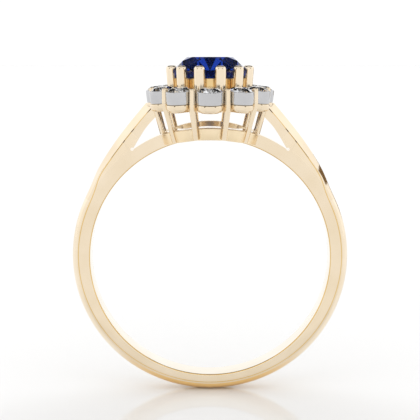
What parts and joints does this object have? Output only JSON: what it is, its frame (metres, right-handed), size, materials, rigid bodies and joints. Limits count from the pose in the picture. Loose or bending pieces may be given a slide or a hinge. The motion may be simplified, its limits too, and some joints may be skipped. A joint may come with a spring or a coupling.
{
  "type": "engagement ring",
  "caption": "Finger ring with cathedral shoulders, an oval faceted centre stone held by round prongs and a halo of small round stones in open cups.",
  "frame": {"origin": "centre of the finger hole", "axes": "+Z from the finger hole up through the centre stone, Y along the finger, X across the ring face"},
  "size_m": [0.02, 0.0118, 0.0243],
  "materials": {
    "shank": "polished",
    "base_rail_front": "polished",
    "base_rail_back": "polished",
    "halo_gallery": "polished",
    "centre_basket": "polished",
    "sapphire": "polished",
    "halo_post_01": "polished",
    "halo_post_02": "polished",
    "halo_post_03": "polished",
    "halo_post_04": "polished",
    "halo_post_05": "polished",
    "halo_post_06": "polished",
    "halo_post_07": "polished",
    "halo_post_08": "polished",
    "halo_post_09": "polished",
    "halo_post_10": "polished",
    "halo_post_11": "polished",
    "halo_post_12": "polished",
    "halo_cup_01": "polished",
    "halo_cup_02": "polished",
    "halo_cup_03": "polished",
    "halo_cup_04": "polished",
    "halo_cup_05": "polished",
    "halo_cup_06": "polished",
    "halo_cup_07": "polished",
    "halo_cup_08": "polished",
    "halo_cup_09": "polished",
    "halo_cup_10": "polished",
    "halo_cup_11": "polished",
    "halo_cup_12": "polished",
    "halo_diamond_01": "polished",
    "halo_diamond_02": "polished",
    "halo_diamond_03": "polished",
    "halo_diamond_04": "polished",
    "halo_diamond_05": "polished",
    "halo_diamond_06": "polished",
    "halo_diamond_07": "polished",
    "halo_diamond_08": "polished",
    "halo_diamond_09": "polished",
    "halo_diamond_10": "polished",
    "halo_diamond_11": "polished",
    "halo_diamond_12": "polished",
    "centre_prong_01": "polished",
    "centre_prong_02": "polished",
    "centre_prong_03": "polished",
    "centre_prong_04": "polished",
    "centre_prong_05": "polished",
    "centre_prong_06": "polished",
    "centre_prong_07": "polished",
    "centre_prong_08": "polished",
    "centre_prong_09": "polished",
    "centre_prong_10": "polished",
    "centre_prong_11": "polished",
    "centre_prong_12": "polished"
  },
  "bodies": {
    "root": {"shank": "shank", "base_rail_front": "base_rail_front", "base_rail_back": "base_rail_back", "halo_gallery": "halo_gallery", "centre_basket": "centre_basket", "sapphire": "sapphire", "halo_post_01": "halo_post_01", "halo_post_02": "halo_post_02", "halo_post_03": "halo_post_03", "halo_post_04": "halo_post_04", "halo_post_05": "halo_post_05", "halo_post_06": "halo_post_06", "halo_post_07": "halo_post_07", "halo_post_08": "halo_post_08", "halo_post_09": "halo_post_09", "halo_post_10": "halo_post_10", "halo_post_11": "halo_post_11", "halo_post_12": "halo_post_12", "halo_cup_01": "halo_cup_01", "halo_cup_02": "halo_cup_02", "halo_cup_03": "halo_cup_03", "halo_cup_04": "halo_cup_04", "halo_cup_05": "halo_cup_05", "halo_cup_06": "halo_cup_06", "halo_cup_07": "halo_cup_07", "halo_cup_08": "halo_cup_08", "halo_cup_09": "halo_cup_09", "halo_cup_10": "halo_cup_10", "halo_cup_11": "halo_cup_11", "halo_cup_12": "halo_cup_12", "halo_diamond_01": "halo_diamond_01", "halo_diamond_02": "halo_diamond_02", "halo_diamond_03": "halo_diamond_03", "halo_diamond_04": "halo_diamond_04", "halo_diamond_05": "halo_diamond_05", "halo_diamond_06": "halo_diamond_06", "halo_diamond_07": "halo_diamond_07", "halo_diamond_08": "halo_diamond_08", "halo_diamond_09": "halo_diamond_09", "halo_diamond_10": "halo_diamond_10", "halo_diamond_11": "halo_diamond_11", "halo_diamond_12": "halo_diamond_12", "centre_prong_01": "centre_prong_01", "centre_prong_02": "centre_prong_02", "centre_prong_03": "centre_prong_03", "centre_prong_04": "centre_prong_04", "centre_prong_05": "centre_prong_05", "centre_prong_06": "centre_prong_06", "centre_prong_07": "centre_prong_07", "centre_prong_08": "centre_prong_08", "centre_prong_09": "centre_prong_09", "centre_prong_10": "centre_prong_10", "centre_prong_11": "centre_prong_11", "centre_prong_12": "centre_prong_12"}
  },
  "joints": []
}
